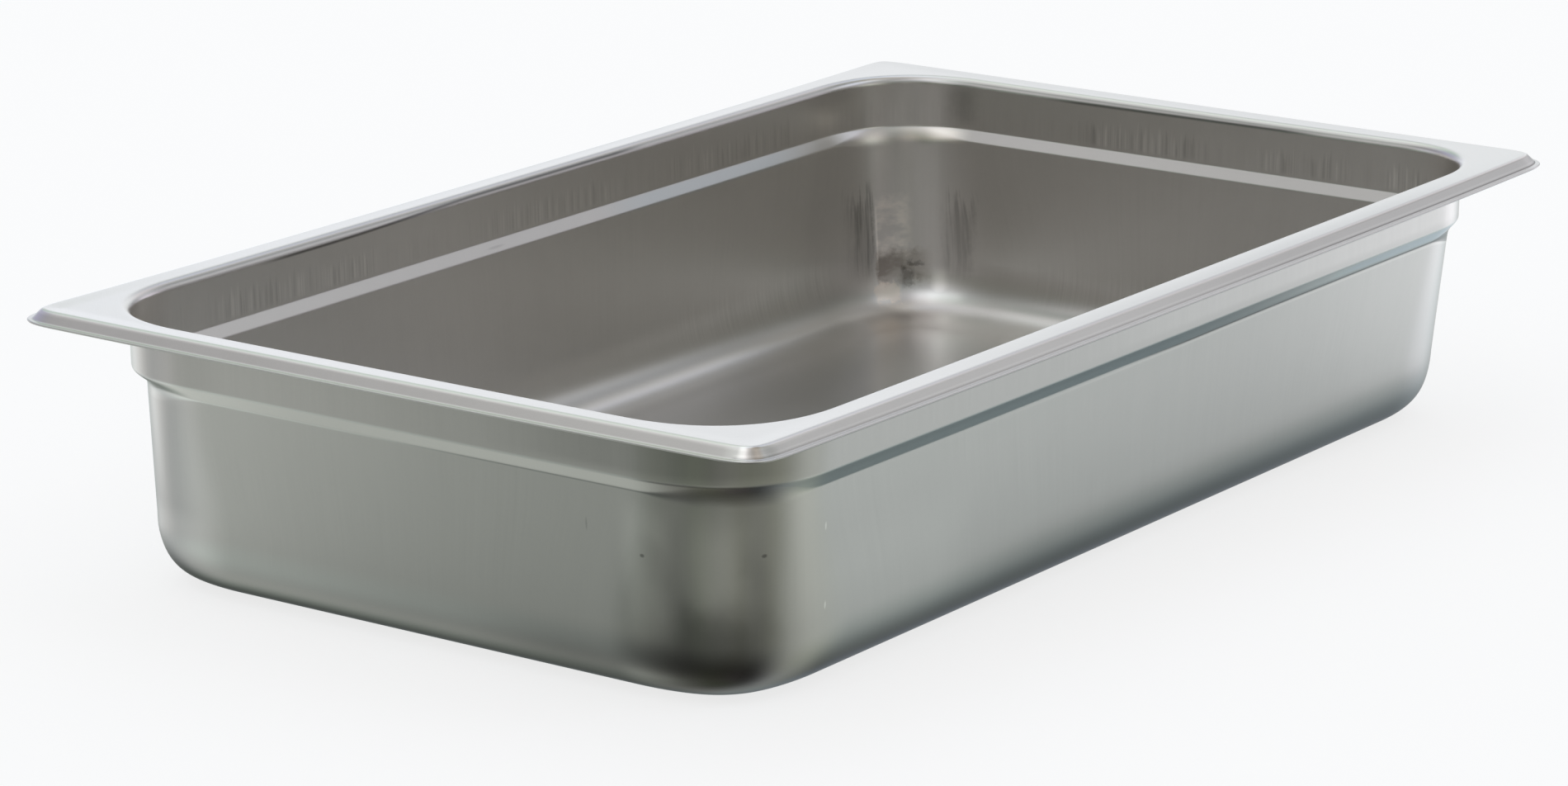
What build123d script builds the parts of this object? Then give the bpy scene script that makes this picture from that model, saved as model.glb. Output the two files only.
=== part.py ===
from build123d import *
import math
import os

# Full-size food pan for a deli counter or steam table, drawn from one stainless steel sheet.
# Millimetres. Origin at the centre of the floor's underside, +X along the length,
# +Y along the width, +Z up. An "inset" is a plan distance inwards from the tip of the lip.

# ---------------------------------------------------------------- driving dimensions
length = 530.0            # over the lip, along X
width = 325.0             # over the lip, along Y
height = 102.4            # floor underside to flange top, a nominal 4 inch pan
sheet = 0.8               # sheet thickness, the same everywhere

lip_bevel = 4.8           # inset of the edge where the flat flange turns down into the bevel
lip_corner_radius = 13.0  # plan radius of the lip's tip at the four corners
lip_crease_drop = 3.4     # flange top to the crease where the lip turns outwards
lip_crease_inset = 1.75   # inset of that crease
lip_drop = 3.5            # flange top to the tip of the lip
lip_edge_bend = 3.0       # top radius of the bend from flange into bevel
lip_crease_bend = 0.9     # top radius of the bend at the crease
lip_joint_inset = 7.0     # where the lip's section hands over to the flat ring

flange_inset = 13.6       # inner edge of the flat flange
flange_bend = 3.5         # top radius of the bend from flange into neck
opening_radius = 43.0     # plan radius of the neck's inner wall at the corners

neck_draft = 1.0          # degrees
neck_depth = 22.2         # flange top to the top of the shoulder
shoulder_run = 2.2        # how far the shoulder steps inwards
shoulder_drop = 4.7       # and how far it falls while doing so
shoulder_bend = 1.6       # radius on the inside of the bend at each edge of the shoulder
wall_draft = 3.0          # degrees
floor_bend = 20.7         # food-side radius between wall and floor
flat_end = 1.0            # allowance for flat sheet at each end of the well's section

# ---------------------------------------------------------------- the well's section
neck_inset = flange_inset + flange_bend      # inner face of the neck, at the flange
well_axis_inset = neck_inset + opening_radius
ring_inner_inset = flange_inset - flat_end   # where the flat ring hands over to the well

neck_tan = math.tan(math.radians(neck_draft))
wall_tan = math.tan(math.radians(wall_draft))
floor_bend_reach = floor_bend * math.tan(math.radians(45 + wall_draft / 2))

shoulder_top_inset = neck_inset + neck_tan * neck_depth
shoulder_top_z = height - neck_depth
shoulder_foot_inset = shoulder_top_inset + shoulder_run
shoulder_foot_z = shoulder_top_z - shoulder_drop
wall_foot_inset = shoulder_foot_inset + wall_tan * (shoulder_foot_z - sheet)
floor_inset = wall_foot_inset + floor_bend_reach + flat_end

# Food side of the sheet, flange to floor, before bending: (inset, z)
well_points = [
    (ring_inner_inset, height),
    (neck_inset, height),
    (shoulder_top_inset, shoulder_top_z),
    (shoulder_foot_inset, shoulder_foot_z),
    (wall_foot_inset, sheet),
    (floor_inset, sheet),
]
# The food side is on the outside of the bend at the shoulder's foot
well_bends = [flange_bend, shoulder_bend, shoulder_bend + sheet, floor_bend]

# ---------------------------------------------------------------- the lip's section
# Top of the sheet, flange to tip, before bending: (inset, z)
lip_points = [
    (lip_joint_inset, height),
    (lip_bevel, height),
    (lip_crease_inset, height - lip_crease_drop),
    (0, height - lip_drop),
]
lip_bends = [lip_edge_bend, lip_crease_bend]

# Points, bend radii, inset of the corner's vertical axis, side on which the sheet is thickened
sections = [
    (well_points, well_bends, well_axis_inset, Side.LEFT),
    (lip_points, lip_bends, lip_corner_radius, Side.RIGHT),
]

# Sign of x, sign of y, angle where the quarter turn starts, length of the side that follows it
corners = [
    (1, 1, 0, length),
    (-1, 1, 90, width),
    (-1, -1, 180, length),
    (1, -1, 270, width),
]


def flat_outline(inset, corner_radius):
    """Size and corner radius of the rounded rectangle lying inset from the tip."""
    return length - 2 * inset, width - 2 * inset, corner_radius - inset


def section_plane(origin, angle):
    """Upright plane through a corner's axis, its x pointing outwards at angle, its y up."""
    x = math.cos(math.radians(angle))
    y = math.sin(math.radians(angle))
    return Plane(origin=origin, x_dir=(x, y, 0), z_dir=(y, -x, 0))


def build_food_pan():
    """Flat flange and floor, joined by the bent sections of the well and the lip."""
    with BuildPart() as food_pan:
        # the flat ring of the flange
        with BuildSketch(Plane.XY.offset(height - sheet)):
            RectangleRounded(*flat_outline(lip_joint_inset, lip_corner_radius))
            RectangleRounded(
                *flat_outline(ring_inner_inset, well_axis_inset), mode=Mode.SUBTRACT
            )
        extrude(amount=sheet)

        # the floor, as far out as the section's flat end
        with BuildSketch(Plane.XY):
            RectangleRounded(*flat_outline(floor_inset, well_axis_inset))
        extrude(amount=sheet)

        # Each section is turned a quarter turn at the corner, then drawn straight along the
        # side that follows, so corners are surfaces of revolution and sides are extrusions.
        for x_sign, y_sign, turn, side_length in corners:
            for points, bends, axis_inset, sheet_side in sections:
                origin = (
                    x_sign * (length / 2 - axis_inset),
                    y_sign * (width / 2 - axis_inset),
                    0,
                )
                profile = [(axis_inset - inset, z) for inset, z in points]
                for angle, at_corner in ((turn, True), (turn + 90, False)):
                    with BuildSketch(section_plane(origin, angle)):
                        with BuildLine():
                            FilletPolyline(*profile, radius=bends)
                            offset(amount=sheet, side=sheet_side, closed=True)
                        make_face()
                    if at_corner:
                        revolve(axis=Axis(origin, (0, 0, 1)), revolution_arc=90)
                    else:
                        extrude(amount=-(side_length - 2 * axis_inset))

    food_pan.part.label = "food_pan"
    return food_pan.part


os.makedirs("parts", exist_ok=True)
export_step(build_food_pan(), "parts/food_pan.step")
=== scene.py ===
"""A drawn stainless steel food pan on a pale floor, under soft studio light.

The pan is one sheet, centred on the origin with its long sides along x and its floor on z = 0.
Left is -x, front is -y. The near corner is (-x, -y), closest to the camera, and the back corner
is (+x, +y). The food side is the upper and inner face of the sheet, the underside its other face.
"""
import bpy
import math
import numpy as np
from mathutils import Matrix, Vector


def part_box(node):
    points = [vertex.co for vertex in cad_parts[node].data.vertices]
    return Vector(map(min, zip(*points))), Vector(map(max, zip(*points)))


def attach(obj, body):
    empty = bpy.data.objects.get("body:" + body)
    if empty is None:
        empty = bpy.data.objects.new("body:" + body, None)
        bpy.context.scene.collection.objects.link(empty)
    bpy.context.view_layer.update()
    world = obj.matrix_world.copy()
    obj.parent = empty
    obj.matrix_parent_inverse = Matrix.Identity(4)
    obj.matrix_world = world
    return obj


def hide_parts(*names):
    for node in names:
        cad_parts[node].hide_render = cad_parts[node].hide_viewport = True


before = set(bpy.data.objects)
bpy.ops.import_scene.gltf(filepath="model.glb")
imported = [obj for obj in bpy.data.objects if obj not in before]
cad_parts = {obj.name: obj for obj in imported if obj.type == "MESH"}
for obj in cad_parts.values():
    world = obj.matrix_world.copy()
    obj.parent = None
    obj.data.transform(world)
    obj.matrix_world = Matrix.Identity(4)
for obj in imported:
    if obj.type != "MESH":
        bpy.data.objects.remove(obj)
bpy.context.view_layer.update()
pan_low, pan_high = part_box("food_pan")

# ------------------------------------------------------------------ sizes, metres
MM = 0.001
HALF_LENGTH = (pan_high.x - pan_low.x) / 2
HALF_WIDTH = (pan_high.y - pan_low.y) / 2
SHEET = 0.8 * MM                 # thickness
RIM_Z = pan_high.z - 0.8 * MM    # the flange where it bends into the neck; its corners stand prouder

# plan radii at the corners
LIP_R = 13.0 * MM                # the lip's tip
NECK_R = 42.0 * MM               # the neck's inner face
WALL_R = 43.0 * MM               # the foot of the wall
NECK_SOFT = 0.35 * NECK_R        # how gently the opening's corners begin; the wall's begin more gently

# the section: an inset is measured from the lip's tip
EDGE_INSET = 5.5 * MM            # where the flat flange turns down into the lip
FLANGE_INSET = 13.6 * MM         # where the corners' own drawing is in full
NECK_INSET = 17.1 * MM
NECK_DEPTH = 21.4 * MM
NECK_LEAN, WALL_LEAN = 1.0, 3.0  # degrees from upright
NECK_SLOPE, WALL_SLOPE = (math.tan(math.radians(lean)) for lean in (NECK_LEAN, WALL_LEAN))
FLOOR_BEND_R = 20.7 * MM

SHOULDER_TOP = (NECK_INSET + NECK_SLOPE * NECK_DEPTH, RIM_Z - NECK_DEPTH)
SHOULDER_FOOT = (SHOULDER_TOP[0] + 2.2 * MM, SHOULDER_TOP[1] - 4.7 * MM)
WALL_FOOT = (SHOULDER_FOOT[0] + WALL_SLOPE * (SHOULDER_FOOT[1] - SHEET), SHEET)
FLOOR_INSET = WALL_FOOT[0] + FLOOR_BEND_R * math.tan(math.radians((90 + WALL_LEAN) / 2)) + 13.0 * MM

# the sheet's food side before bending: inset, height
SECTION = [
    (0.42 * MM, RIM_Z - 3.68 * MM),
    (1.75 * MM, RIM_Z - 3.63 * MM),
    (EDGE_INSET, RIM_Z),
    (NECK_INSET, RIM_Z),
    SHOULDER_TOP,
    SHOULDER_FOOT,
    WALL_FOOT,
    (FLOOR_INSET, SHEET),
]
# one radius and one count for each bend; the drawn corners blend the shoulder's foot away
SIDE_BENDS = [0.9 * MM, 3.0 * MM, 3.5 * MM, 1.6 * MM, 2.4 * MM, FLOOR_BEND_R]
CORNER_BENDS = [0.9 * MM, 2.4 * MM, 3.5 * MM, 2.2 * MM, 22.0 * MM, FLOOR_BEND_R]
BEND_STEPS = [6, 10, 12, 8, 8, 34]
STRAIGHT_STEPS = [2, 4, 6, 12, 3, 26, 2]
FLANGE, WALL = 2, 5              # numbers of those straights
FLOOR_BEND = 5                   # number of the bend that comes in gently
FLOOR_BEND_SOFT = 0.8            # and how gently

CORNER_STEPS, LONG_STEPS, SHORT_STEPS = 36, 84, 44   # round a corner, along a long and a short side
CORNER_BLEND = 26.0              # degrees over which a corner takes up its own section


# ------------------------------------------------------------------ section and plan
def ramp(value):
    """Smooth step of value from 0 to 1."""
    value = np.clip(value, 0, 1)
    return value * value * (3 - 2 * value)


def soft_turn(angle, samples, strength=2.0, power=6):
    """A bend whose curvature comes in gently. Returns how far its start moves back along the
    incoming line, and the displacement from a plain arc at each sample, as (along, left) of the
    incoming direction, all per unit of radius. The middle of the bend stays where it is."""
    count = 4000
    part = (np.arange(count) + 0.5) / count
    shape = np.abs(np.cos(math.pi * part)) ** power
    heading = np.stack([np.cos(part * angle), np.sin(part * angle)], -1)
    bisector = np.array([math.cos(angle / 2), math.sin(angle / 2)])
    normal = np.array([-bisector[1], bisector[0]])
    half = part < 0.5

    def run_in_and_shift(weight):
        total = (weight[:, None] * heading).sum(0) * angle / count
        run_in = total @ bisector / (2 * math.cos(angle / 2))
        middle = (weight[half, None] * heading[half]).sum(0) * angle / count - np.array([run_in, 0])
        return run_in, middle @ normal

    # take off the even part that would move the middle
    even = run_in_and_shift(shape)[1] / run_in_and_shift(np.ones(count))[1]
    weight = strength * (shape - even)
    run_in, _ = run_in_and_shift(weight)
    path = np.cumsum(weight[:, None] * heading, 0) * angle / count
    path = np.concatenate([[[0.0, 0.0]], path])
    at = np.linspace(0, 1, samples) * count
    shift = np.stack([np.interp(at, np.arange(count + 1), path[:, axis]) for axis in (0, 1)], -1)
    return run_in, shift - np.array([run_in, 0])


def left_of(direction):
    return np.array([-direction[1], direction[0]])


def unit(vector):
    return vector / np.linalg.norm(vector)


def section(bends):
    """Samples of the food side: rows of inset, height, normal's inset and height, plan radius of
    the loop's corners, and the radius that their gentle start is scaled by."""
    points = [np.array(point) for point in SECTION]
    starts, ends, arcs = [points[0]], [], []
    for i, bend in enumerate(bends):
        before, corner, after = points[i:i + 3]
        back, onward = unit(before - corner), unit(after - corner)
        half = math.acos(float(np.clip(back @ onward, -1, 1))) / 2
        cut = bend / math.tan(half)
        arc_start, arc_end = corner + back * cut, corner + onward * cut
        centre = corner + unit(back + onward) * bend / math.sin(half)
        shift, extra = None, 0.0
        if i == FLOOR_BEND:
            run_in, shift = soft_turn(math.pi - 2 * half, BEND_STEPS[i] + 1)
            shift = shift * bend * FLOOR_BEND_SOFT
            extra = run_in * bend * FLOOR_BEND_SOFT
        ends.append(arc_start + back * extra)
        starts.append(arc_end + onward * extra)
        arcs.append((centre, arc_start, arc_end, shift))
    ends.append(points[-1])

    flange_out, flange_in = starts[FLANGE][0], ends[FLANGE][0]
    wall_top, wall_end = starts[WALL], ends[WALL]
    wall_top_r = NECK_R + NECK_INSET - wall_top[0]

    def radii(straight, point):
        """Corners follow the section at a constant offset, but grow on the flange and the wall."""
        inset = point[0]
        if straight < FLANGE:
            return LIP_R - inset, LIP_R
        if straight == FLANGE:
            t = np.clip((inset - flange_out) / (flange_in - flange_out), 0, 1)
            inner_r = NECK_R + NECK_INSET - flange_in
            return ((LIP_R - flange_out) * (1 - t) + inner_r * t,
                    LIP_R * (1 - t) + NECK_SOFT * t)
        if straight < WALL:
            return NECK_R + NECK_INSET - inset, NECK_SOFT
        if straight == WALL:
            t = np.clip((wall_top[1] - point[1]) / (wall_top[1] - wall_end[1]), 0, 1)
            return wall_top_r * (1 - t) + WALL_R * t, NECK_SOFT + (NECK_R - NECK_SOFT) * ramp(t)
        radius = WALL_R + wall_end[0] - inset
        return radius, min(NECK_R, radius * NECK_R / WALL_R)   # the run-in shrinks with the loops

    rows = []
    for i, (start, end) in enumerate(zip(starts, ends)):
        length = np.linalg.norm(end - start)
        heading = (end - start) / length
        # a close pair of rows holds each end of a straight
        edge = min(0.35 * MM, length * 0.15) / length
        inside = edge + (1 - 2 * edge) * np.linspace(0, 1, STRAIGHT_STEPS[i] + 1)
        for t in (0.0, *inside, 1.0):
            point = start + (end - start) * t
            rows.append((*point, *left_of(heading), *radii(i, point)))
        if i == len(arcs):
            break
        centre, arc_start, arc_end, shift = arcs[i]
        angle0 = math.atan2(*(arc_start - centre)[::-1])
        angle1 = math.atan2(*(arc_end - centre)[::-1])
        turn = (angle1 - angle0 + math.pi) % (2 * math.pi) - math.pi
        way = 1 if turn > 0 else -1
        bend = np.linalg.norm(arc_start - centre)
        # a bend takes the radius rule of the neighbour with a constant offset
        straight = i if i + 1 in (FLANGE, WALL) else i + 1
        for k in range(1, BEND_STEPS[i]):
            angle = angle0 + turn * k / BEND_STEPS[i]
            out = np.array([math.cos(angle), math.sin(angle)])
            point = centre + out * bend
            if shift is not None:
                point = point + heading * shift[k][0] + left_of(heading) * shift[k][1] * way
            rows.append((*point, *left_of(left_of(out) * way), *radii(straight, point)))
    return np.array(rows)


def down_the_sheet(rows):
    """Distance of each row of a section from the first, along the sheet."""
    steps = np.hypot(np.diff(rows[:, 0]), np.diff(rows[:, 1]))
    return np.concatenate([[0], np.cumsum(steps)])


def plan():
    """Round the loop: the signs of the corners before and after each point, its outward direction,
    how far along a side it is, how much it follows the corner's section, and each corner's start."""
    signs, outward, along, corner, corner_starts = [], [], [], [], []
    quarters = ((1, 1, LONG_STEPS), (-1, 1, SHORT_STEPS), (-1, -1, LONG_STEPS), (1, -1, SHORT_STEPS))
    for k, (x_sign, y_sign, steps) in enumerate(quarters):
        corner_starts.append(len(signs))
        for i in range(CORNER_STEPS + 1):
            turn = 90.0 * i / CORNER_STEPS
            angle = math.radians(90 * k + turn)
            signs.append((x_sign, y_sign, x_sign, y_sign))
            outward.append((math.cos(angle), math.sin(angle)))
            along.append(0.0)
            corner.append(ramp(min(turn, 90 - turn) / CORNER_BLEND))
        angle = math.radians(90 * (k + 1))
        for i in range(1, steps):
            signs.append((x_sign, y_sign, *quarters[(k + 1) % 4][:2]))
            outward.append((round(math.cos(angle)), round(math.sin(angle))))
            along.append(i / steps)
            corner.append(0.0)
    return np.array(signs, float), np.array(outward, float), np.array(along), \
        np.array(corner), corner_starts


SIGNS, OUTWARD, ALONG, CORNER, CORNER_STARTS = plan()
CORNER_RUN_IN, CORNER_SHIFT = soft_turn(math.pi / 2, CORNER_STEPS + 1)


def ring(inset, radius, height, soft):
    """One closed loop of the sheet; all but the plan may vary round it. soft scales the gentle
    start of its corners."""
    inset, radius, height, soft = (np.broadcast_to(np.asarray(value, float), ALONG.shape)
                                   for value in (inset, radius, height, soft))
    centre = np.stack([HALF_LENGTH - inset - radius, HALF_WIDTH - inset - radius], -1)
    start, end = SIGNS[:, :2] * centre, SIGNS[:, 2:] * centre
    # along a side the ends draw back by the corner's run-in
    heading = (end - start) / (np.linalg.norm(end - start, axis=1)[:, None] + 1e-12)
    back = (CORNER_RUN_IN * soft)[:, None] * heading
    t = ALONG[:, None]
    points = (start + back) * (1 - t) + (end - back) * t + radius[:, None] * OUTWARD
    for first in CORNER_STARTS:
        rows = np.arange(first, first + CORNER_STEPS + 1)
        along = left_of(OUTWARD[first])                # the corner starts square to its first side
        shift = CORNER_SHIFT * soft[rows][:, None]
        points[rows] = (start[rows] + radius[rows][:, None] * OUTWARD[rows]
                        + shift[:, :1] * along + shift[:, 1:] * left_of(along))
    return np.c_[points, height]


# how much wider (+) or tighter (-) a corner was drawn than the section gives, in mm:
# (x sign, y sign): neck, shoulder's foot, wall's foot
CORNER_DRAW = {(1, -1): (-5.5, 0.0, 0.0), (-1, 1): (0.0, 8.0, -1.5)}
WALL_DRAW_Z = 20.0 * MM          # height where the wall's foot value is reached


def corner_draw(inset, z):
    """The same in metres, for rows of loops, easing from corner to corner along the sides."""
    before, after = (
        np.array([CORNER_DRAW.get(tuple(pair), (0.0, 0.0, 0.0)) for pair in SIGNS[:, k:k + 2].tolist()])
        for k in (0, 2))
    t = ramp(ALONG)[:, None]
    neck, top, foot = (before * (1 - t) + after * t).T * MM
    ring_in = ramp((inset - 6 * MM) / (FLANGE_INSET - 6 * MM))
    below = ramp((SHOULDER_TOP[1] - z) / (SHOULDER_TOP[1] - SHOULDER_FOOT[1]))
    down = np.clip((SHOULDER_FOOT[1] - z) / (SHOULDER_FOOT[1] - WALL_DRAW_Z), 0, 1)
    return neck * ring_in * (1 - below) + (top * (1 - down) + foot * down) * below


# in mm: how far the flange's outer edge stands up at the corners, how far it sags between them,
# and the sag of the flange's inner edge
CORNER_LIFT = {(-1, 1): 0.78, (-1, -1): 0.75, (1, -1): 0.05, (1, 1): 0.40}
SIDE_SAG = {"-x": 0.50, "-y": 1.28, "+y": 1.40, "+x": 0.05}
INNER_SAG_SHORT, INNER_SAG_LONG = 0.25, 0.40
# how far the front shoulder's two edges are lowered, in mm, at shares of the half length
TOP_DROP = ([-0.98, -0.80, -0.45, 0.0, 0.45, 0.85, 0.98],
            [0.15, 0.45, 0.75, 1.10, 0.95, 0.7, 0.2])
FOOT_DROP = ([-0.98, -0.80, -0.45, -0.1, 0.02, 0.08, 0.3, 0.6, 0.9, 0.98],
             [0.4, 1.3, 1.6, 1.35, 1.25, 1.3, 0.75, 0.6, 0.7, 0.2])


def drift(points):
    """Small departures of a pressed sheet from its drawing, as a displacement field: the flange
    curls up at the corners and hangs between them, and the front shoulder sits a little lower."""
    x, y, z = points[:, 0] / HALF_LENGTH, points[:, 1] / HALF_WIDTH, points[:, 2]
    x_part, y_part = np.clip(x, -1, 1), np.clip(y, -1, 1)
    from_short = HALF_LENGTH - np.abs(points[:, 0])
    from_long = HALF_WIDTH - np.abs(points[:, 1])
    short_weight, long_weight = 1 / (from_short ** 2 + 1e-6), 1 / (from_long ** 2 + 1e-6)

    def by_nearest(short, long):
        return (short * short_weight + long * long_weight) / (short_weight + long_weight)

    def sagging(part, sag):
        return sag * (1 - np.abs(part) ** 3)

    def side(part, first, last, name):
        t = ramp((part + 1) / 2)
        lift = CORNER_LIFT[first] * (1 - t) + CORNER_LIFT[last] * t
        return lift - sagging(part, SIDE_SAG[name])

    left, right = side(y_part, (-1, -1), (-1, 1), "-x"), side(y_part, (1, -1), (1, 1), "+x")
    front, rear = side(x_part, (-1, -1), (1, -1), "-y"), side(x_part, (-1, 1), (1, 1), "+y")
    outer = by_nearest(np.where(x_part > 0, right, left), np.where(y_part > 0, rear, front))
    inner = by_nearest(-sagging(y_part, INNER_SAG_SHORT), -sagging(x_part, INNER_SAG_LONG))
    # distance in from the lip's tip, round its corners
    past_x, past_y = LIP_R - from_short, LIP_R - from_long
    inset = np.where((past_x > 0) & (past_y > 0), LIP_R - np.hypot(past_x, past_y),
                     np.minimum(from_short, from_long))
    across = ramp((inset - 4.0 * MM) / (10.5 * MM))
    depth = 1 - ramp((RIM_Z - 2 * MM - z) / (14 * MM))
    lip = np.where(inset < 9 * MM, 1.0, depth)         # the lip hangs below the flange but moves with it
    out = np.zeros_like(points)
    out[:, 2] = (outer * (1 - across) * lip + inner * across * depth) * MM

    at_front = ramp(-y * 6 - 4.2) * (inset > 9 * MM)
    near_top = np.exp(-((z - SHOULDER_TOP[1]) / (5 * MM)) ** 2)
    near_foot = np.exp(-((z - SHOULDER_FOOT[1]) / (5 * MM)) ** 2)
    top_share = near_top / (near_top + near_foot + 1e-9)
    drop = np.interp(x, *TOP_DROP) * top_share + np.interp(x, *FOOT_DROP) * (1 - top_share)
    out[:, 2] -= at_front * np.maximum(near_top, near_foot) * drop * MM
    return out


# ------------------------------------------------------------------ the sheet's mesh
def grid_normals(grid):
    """Normals of a grid of closed loops (loop, point, xyz), from its own neighbours."""
    def tangent(before, here, after):
        step0, step1 = here - before, after - here
        length0 = np.linalg.norm(step0, axis=-1, keepdims=True) + 1e-12
        length1 = np.linalg.norm(step1, axis=-1, keepdims=True) + 1e-12
        mean = step0 / length0 * length1 + step1 / length1 * length0
        return mean / (np.linalg.norm(mean, axis=-1, keepdims=True) + 1e-12)
    first, last = 2 * grid[:1] - grid[1:2], 2 * grid[-1:] - grid[-2:-1]
    across = tangent(np.concatenate([first, grid[:-1]]), grid, np.concatenate([grid[1:], last]))
    along = tangent(np.roll(grid, 1, 1), grid, np.roll(grid, -1, 1))
    normals = np.cross(along, across)
    return normals / np.linalg.norm(normals, axis=-1, keepdims=True)


def lip_tip(rows):
    """The cut edge of the lip, rounded, from the food side round to the underside."""
    normal = rows[0, 2:4]
    centre = rows[0, :2] - normal * SHEET / 2
    back = -unit(rows[2, :2] - rows[0, :2])
    loops = []
    for k in range(1, 8):
        angle = math.pi * k / 8
        inset, z = centre + (normal * math.cos(angle) + back * math.sin(angle)) * SHEET / 2
        loops.append(ring(inset, LIP_R - inset, z, LIP_R))
    return np.stack(loops)


def sheet_loops():
    """Loops from the floor's underside out to the lip, round it, and back in to the floor, with
    each loop's distance down the sheet and its face: 0 underside, 1 food side."""
    side_rows = section(SIDE_BENDS)
    weight = CORNER[None, :, None]
    rows = side_rows[:, None] * (1 - weight) + section(CORNER_BENDS)[:, None] * weight
    rows[..., 2:4] /= np.linalg.norm(rows[..., 2:4], axis=-1, keepdims=True)
    rows[..., 4] += corner_draw(rows[..., 0], rows[..., 1])
    food, under = [], []
    for row in rows:
        inset, z, normal_inset, normal_z, radius, soft = row.T
        food.append(ring(inset, radius, z, soft))
        under_inset = inset - normal_inset * SHEET
        under.append(ring(under_inset, radius + (inset - under_inset), z - normal_z * SHEET, soft))
    tip = lip_tip(side_rows)
    down = down_the_sheet(side_rows)
    tip_down = -1e-4 * np.arange(1, len(tip) + 1)
    loops = np.concatenate([under[::-1], tip[::-1], food])
    down = np.concatenate([down[::-1], tip_down[::-1], down])
    face = np.repeat([0.0, 0.5, 1.0], [len(under), len(tip), len(food)])
    return loops, down, face, food[len(food) // 2]


def floor_indices(first, count):
    """Indices of a floor grid's border, its corners being the middles of the corner arcs."""
    long, short = CORNER_STEPS + LONG_STEPS, CORNER_STEPS + SHORT_STEPS
    corner = np.cumsum([CORNER_STEPS // 2, long, short, long])

    def run(start, steps, way):
        return first + (start + way * np.arange(steps + 1)) % count

    grid = np.zeros((long + 1, short + 1), int)
    grid[:, 0] = run(corner[0], long, 1)               # y = +, x from + to -
    grid[:, -1] = run(corner[2] + long, long, -1)      # y = -, x from + to -
    grid[0] = run(corner[3] + short, short, -1)        # x = +, y from + to -
    grid[-1] = run(corner[1], short, 1)                # x = -, y from + to -
    return grid


def floor_inside(points, grid):
    """Places inside a floor grid, blended from its four borders."""
    rear, front, right, left = (points[line] for line in (grid[:, 0], grid[:, -1], grid[0], grid[-1]))
    s = (np.arange(1, len(rear) - 1) / (len(rear) - 1))[:, None, None]
    t = (np.arange(1, len(left) - 1) / (len(left) - 1))[None, :, None]
    borders = ((1 - t) * rear[1:-1, None] + t * front[1:-1, None]
               + (1 - s) * right[None, 1:-1] + s * left[None, 1:-1])
    corners = ((1 - s) * (1 - t) * rear[0] + s * (1 - t) * rear[-1]
               + (1 - s) * t * front[0] + s * t * front[-1])
    return (borders - corners).reshape(-1, 3)


def build_pan():
    loops, down, face, middle = sheet_loops()
    count = loops.shape[1]
    shape = loops + drift(loops.reshape(-1, 3)).reshape(loops.shape)
    normals = grid_normals(shape)
    normals[0] = (0, 0, -1)                            # both floor edges run flat into the floor
    normals[-1] = (0, 0, 1)
    points, normals = shape.reshape(-1, 3), normals.reshape(-1, 3)
    down, face = np.repeat(down, count), np.repeat(face, count)

    here = np.arange(len(points)).reshape(-1, count)
    beside = np.roll(here, -1, 1)
    faces = [np.stack([here[:-1], beside[:-1], beside[1:], here[1:]], -1).reshape(-1, 4)]
    # UVs: arc length round the middle loop, shared by all, and distance across just past a corner
    girth = np.linalg.norm(np.roll(middle, -1, 0) - middle, axis=1)
    girth = np.concatenate([[0], np.cumsum(girth)])
    across = np.linalg.norm(np.diff(loops[:, CORNER_STEPS + 5], axis=0), axis=1)
    across = np.concatenate([[0], np.cumsum(across)])
    flat = np.stack(np.meshgrid(girth, across), -1)
    quads = np.stack([flat[:-1, :-1], flat[:-1, 1:], flat[1:, 1:], flat[1:, :-1]], 2)
    uvs = [quads.reshape(-1, 2)]

    # the two faces of the floor
    for first, up in ((0, False), (here[-1, 0], True)):
        grid = floor_indices(first, count)
        inside = floor_inside(points, grid)
        added = len(inside)
        grid[1:-1, 1:-1] = (len(points) + np.arange(added)).reshape(grid[1:-1, 1:-1].shape)
        points = np.concatenate([points, inside])
        normals = np.concatenate([normals, np.tile((0, 0, 1.0 if up else -1.0), (added, 1))])
        down = np.concatenate([down, np.full(added, down[first])])
        face = np.concatenate([face, np.full(added, 1.0 if up else 0.0)])
        quads = np.stack([grid[:-1, :-1], grid[1:, :-1], grid[1:, 1:], grid[:-1, 1:]], -1)
        quads = quads.reshape(-1, 4)[:, ::1 if up else -1]
        faces.append(quads)
        uvs.append(points[quads.ravel(), :2] + 2.0)    # laid clear of the walls

    mesh = bpy.data.meshes.new("food_pan_sheet")
    mesh.from_pydata(points.tolist(), [], np.concatenate(faces).tolist())
    mesh.polygons.foreach_set("use_smooth", [True] * len(mesh.polygons))
    layer = mesh.uv_layers.new(name="UVMap")
    layer.data.foreach_set("uv", np.concatenate(uvs).astype(np.float32).ravel())
    for name, values in (("sheet_v", down), ("food_side", face)):
        attribute = mesh.attributes.new(name, "FLOAT", "POINT")
        attribute.data.foreach_set("value", values.astype(np.float32))
    mesh.update()
    mesh.validate()
    mesh.normals_split_custom_set_from_vertices(normals.tolist())
    obj = bpy.data.objects.new("food_pan_shell", mesh)
    bpy.context.scene.collection.objects.link(obj)
    return obj


pan = build_pan()
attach(pan, "root")
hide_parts("food_pan")


# ------------------------------------------------------------------ shader nodes
def fresh_tree(owner):
    owner.use_nodes = True
    owner.node_tree.nodes.clear()
    return owner.node_tree


def add_node(tree, kind, inputs=None, **props):
    """A node with its properties set; inputs maps socket names or numbers to Values or numbers."""
    row, column = divmod(len(tree.nodes), 24)
    made = tree.nodes.new(kind)
    made.location = (column * 180, -row * 220)
    for name, setting in props.items():
        setattr(made, name, setting)
    for key, value in (inputs or {}).items():
        if isinstance(value, Value):
            tree.links.new(value.socket, made.inputs[key])
        else:
            made.inputs[key].default_value = value
    return made


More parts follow.
